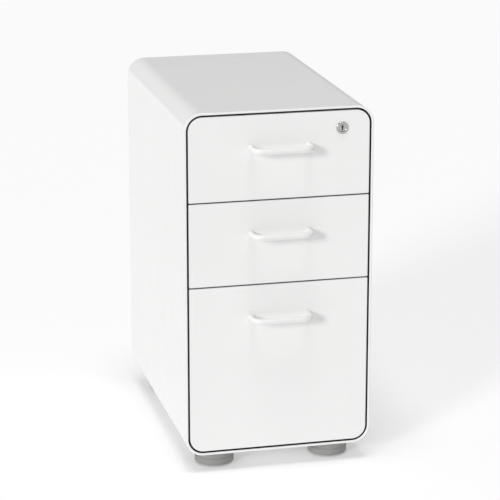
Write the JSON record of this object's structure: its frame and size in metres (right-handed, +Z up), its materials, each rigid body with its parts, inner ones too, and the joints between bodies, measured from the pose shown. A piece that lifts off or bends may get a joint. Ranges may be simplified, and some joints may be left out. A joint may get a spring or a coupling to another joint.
{
  "type": "rolling pedestal cabinet",
  "caption": "Slim steel office pedestal on hooded casters, with two box drawers over a file drawer, bow handles and a lock.",
  "frame": {"origin": "on the floor, under the middle of the whole part with its handles", "axes": "+Z up, the drawers open towards -Y, +X to the right of a person who faces the drawers"},
  "size_m": [0.315, 0.516, 0.61],
  "materials": {
    "shell_paint": "white powder coat, semi-gloss, very fine orange peel",
    "front_paint": "white powder coat, semi-gloss, very fine orange peel",
    "box_paint": "white powder coat, satin",
    "frame_steel": "grey primer on folded steel, satin",
    "counterweight_iron": "cast, painted black, rough",
    "stop_rubber": "black rubber, matt",
    "zinc_fasteners": "bright zinc plate",
    "slide_steel": "clear zinc plate with rolling marks",
    "lock_chrome": "polished plate",
    "lock_steel": "zinc plate",
    "guide_plastic": "black moulded plastic",
    "hood_plastic": "warm grey moulded plastic, fine texture",
    "wheel_plastic": "dark grey moulded plastic, slight sheen",
    "caster_steel": "plain turned steel"
  },
  "bodies": {
    "cabinet": {"outer_shell": "shell_paint", "back_panel": "shell_paint", "back_panel_screws": "zinc_fasteners", "front_uprights": "frame_steel", "rear_uprights": "frame_steel", "base_channel_front": "frame_steel", "base_channel_rear": "frame_steel", "counterweight": "counterweight_iron", "slide_outer_top": "slide_steel", "slide_outer_middle": "slide_steel", "slide_outer_file": "slide_steel", "slide_stops": "stop_rubber", "slide_screws": "zinc_fasteners", "lock_bar_guides": "guide_plastic", "caster_stems": "caster_steel", "caster_nuts": "zinc_fasteners"},
    "lock_bar": {"lock_bar": "lock_steel"},
    "drawer_top": {"drawer_front_top": "front_paint", "inner_front_top": "box_paint", "drawer_box_top": "box_paint", "slide_inner_top": "slide_steel", "handle_top": "front_paint", "handle_screws_top": "zinc_fasteners", "lock_housing": "lock_chrome", "lock_nut": "zinc_fasteners"},
    "drawer_middle": {"drawer_front_middle": "front_paint", "inner_front_middle": "box_paint", "drawer_box_middle": "box_paint", "slide_inner_middle": "slide_steel", "handle_middle": "front_paint", "handle_screws_middle": "zinc_fasteners"},
    "drawer_file": {"drawer_front_file": "front_paint", "inner_front_file": "box_paint", "drawer_box_file": "box_paint", "slide_inner_file": "slide_steel", "handle_file": "front_paint", "handle_screws_file": "zinc_fasteners", "file_rails": "slide_steel"},
    "lock_plug": {"lock_plug": "lock_chrome", "lock_cam": "lock_steel", "lock_cam_screw": "zinc_fasteners"},
    "slide_middle_top": {"slide_middle_top": "slide_steel"},
    "slide_middle_middle": {"slide_middle_middle": "slide_steel"},
    "slide_middle_file": {"slide_middle_file": "slide_steel"},
    "caster_front_left": {"caster_hood_front_left": "hood_plastic", "caster_axle_front_left": "caster_steel"},
    "caster_front_right": {"caster_hood_front_right": "hood_plastic", "caster_axle_front_right": "caster_steel"},
    "caster_rear_left": {"caster_hood_rear_left": "hood_plastic", "caster_axle_rear_left": "caster_steel"},
    "caster_rear_right": {"caster_hood_rear_right": "hood_plastic", "caster_axle_rear_right": "caster_steel"},
    "wheel_front_left_left": {"caster_wheel_front_left_left": "wheel_plastic"},
    "wheel_front_left_right": {"caster_wheel_front_left_right": "wheel_plastic"},
    "wheel_front_right_left": {"caster_wheel_front_right_left": "wheel_plastic"},
    "wheel_front_right_right": {"caster_wheel_front_right_right": "wheel_plastic"},
    "wheel_rear_left_left": {"caster_wheel_rear_left_left": "wheel_plastic"},
    "wheel_rear_left_right": {"caster_wheel_rear_left_right": "wheel_plastic"},
    "wheel_rear_right_left": {"caster_wheel_rear_right_left": "wheel_plastic"},
    "wheel_rear_right_right": {"caster_wheel_rear_right_right": "wheel_plastic"}
  },
  "joints": [
    {"name": "drawer_top_slide", "type": "slide", "parent": "cabinet", "child": "drawer_top", "axis": [0, -1, 0], "range_m": [0, 0.38]},
    {"name": "drawer_middle_slide", "type": "slide", "parent": "cabinet", "child": "drawer_middle", "axis": [0, -1, 0], "range_m": [0, 0.38]},
    {"name": "drawer_file_slide", "type": "slide", "parent": "cabinet", "child": "drawer_file", "axis": [0, -1, 0], "range_m": [0, 0.38]},
    {"name": "slide_middle_top_travel", "type": "slide", "parent": "cabinet", "child": "slide_middle_top", "axis": [0, -1, 0], "range_m": [0, 0.19]},
    {"name": "slide_middle_middle_travel", "type": "slide", "parent": "cabinet", "child": "slide_middle_middle", "axis": [0, -1, 0], "range_m": [0, 0.19]},
    {"name": "slide_middle_file_travel", "type": "slide", "parent": "cabinet", "child": "slide_middle_file", "axis": [0, -1, 0], "range_m": [0, 0.19]},
    {"name": "lock_turn", "type": "hinge", "parent": "drawer_top", "child": "lock_plug", "pos_m": [0.1039, -0.222, 0.5744], "axis": [0, -1, 0], "range_deg": [0, 90]},
    {"name": "lock_bar_lift", "type": "slide", "parent": "cabinet", "child": "lock_bar", "axis": [0, 0, 1], "range_m": [0, 0.012]},
    {"name": "caster_front_left_swivel", "type": "hinge", "parent": "cabinet", "child": "caster_front_left", "pos_m": [-0.0985, -0.169, 0.03], "axis": [0, 0, 1], "continuous": true},
    {"name": "caster_front_right_swivel", "type": "hinge", "parent": "cabinet", "child": "caster_front_right", "pos_m": [0.0985, -0.169, 0.03], "axis": [0, 0, 1], "continuous": true},
    {"name": "caster_rear_left_swivel", "type": "hinge", "parent": "cabinet", "child": "caster_rear_left", "pos_m": [-0.0985, 0.208, 0.03], "axis": [0, 0, 1], "continuous": true},
    {"name": "caster_rear_right_swivel", "type": "hinge", "parent": "cabinet", "child": "caster_rear_right", "pos_m": [0.0985, 0.208, 0.03], "axis": [0, 0, 1], "continuous": true},
    {"name": "wheel_front_left_left_spin", "type": "hinge", "parent": "caster_front_left", "child": "wheel_front_left_left", "pos_m": [-0.1111, -0.163, 0.017], "axis": [1, 0, 0], "continuous": true},
    {"name": "wheel_front_left_right_spin", "type": "hinge", "parent": "caster_front_left", "child": "wheel_front_left_right", "pos_m": [-0.0859, -0.163, 0.017], "axis": [1, 0, 0], "continuous": true},
    {"name": "wheel_front_right_left_spin", "type": "hinge", "parent": "caster_front_right", "child": "wheel_front_right_left", "pos_m": [0.0859, -0.163, 0.017], "axis": [1, 0, 0], "continuous": true},
    {"name": "wheel_front_right_right_spin", "type": "hinge", "parent": "caster_front_right", "child": "wheel_front_right_right", "pos_m": [0.1111, -0.163, 0.017], "axis": [1, 0, 0], "continuous": true},
    {"name": "wheel_rear_left_left_spin", "type": "hinge", "parent": "caster_rear_left", "child": "wheel_rear_left_left", "pos_m": [-0.1111, 0.214, 0.017], "axis": [1, 0, 0], "continuous": true},
    {"name": "wheel_rear_left_right_spin", "type": "hinge", "parent": "caster_rear_left", "child": "wheel_rear_left_right", "pos_m": [-0.0859, 0.214, 0.017], "axis": [1, 0, 0], "continuous": true},
    {"name": "wheel_rear_right_left_spin", "type": "hinge", "parent": "caster_rear_right", "child": "wheel_rear_right_left", "pos_m": [0.0859, 0.214, 0.017], "axis": [1, 0, 0], "continuous": true},
    {"name": "wheel_rear_right_right_spin", "type": "hinge", "parent": "caster_rear_right", "child": "wheel_rear_right_right", "pos_m": [0.1111, 0.214, 0.017], "axis": [1, 0, 0], "continuous": true}
  ],
  "couplings": [
    {"joint": "slide_middle_top_travel", "follows": "drawer_top_slide", "ratio": 0.5},
    {"joint": "slide_middle_middle_travel", "follows": "drawer_middle_slide", "ratio": 0.5},
    {"joint": "slide_middle_file_travel", "follows": "drawer_file_slide", "ratio": 0.5},
    {"joint": "lock_turn", "follows": "lock_bar_lift", "rad_per_m": 130.7}
  ]
}
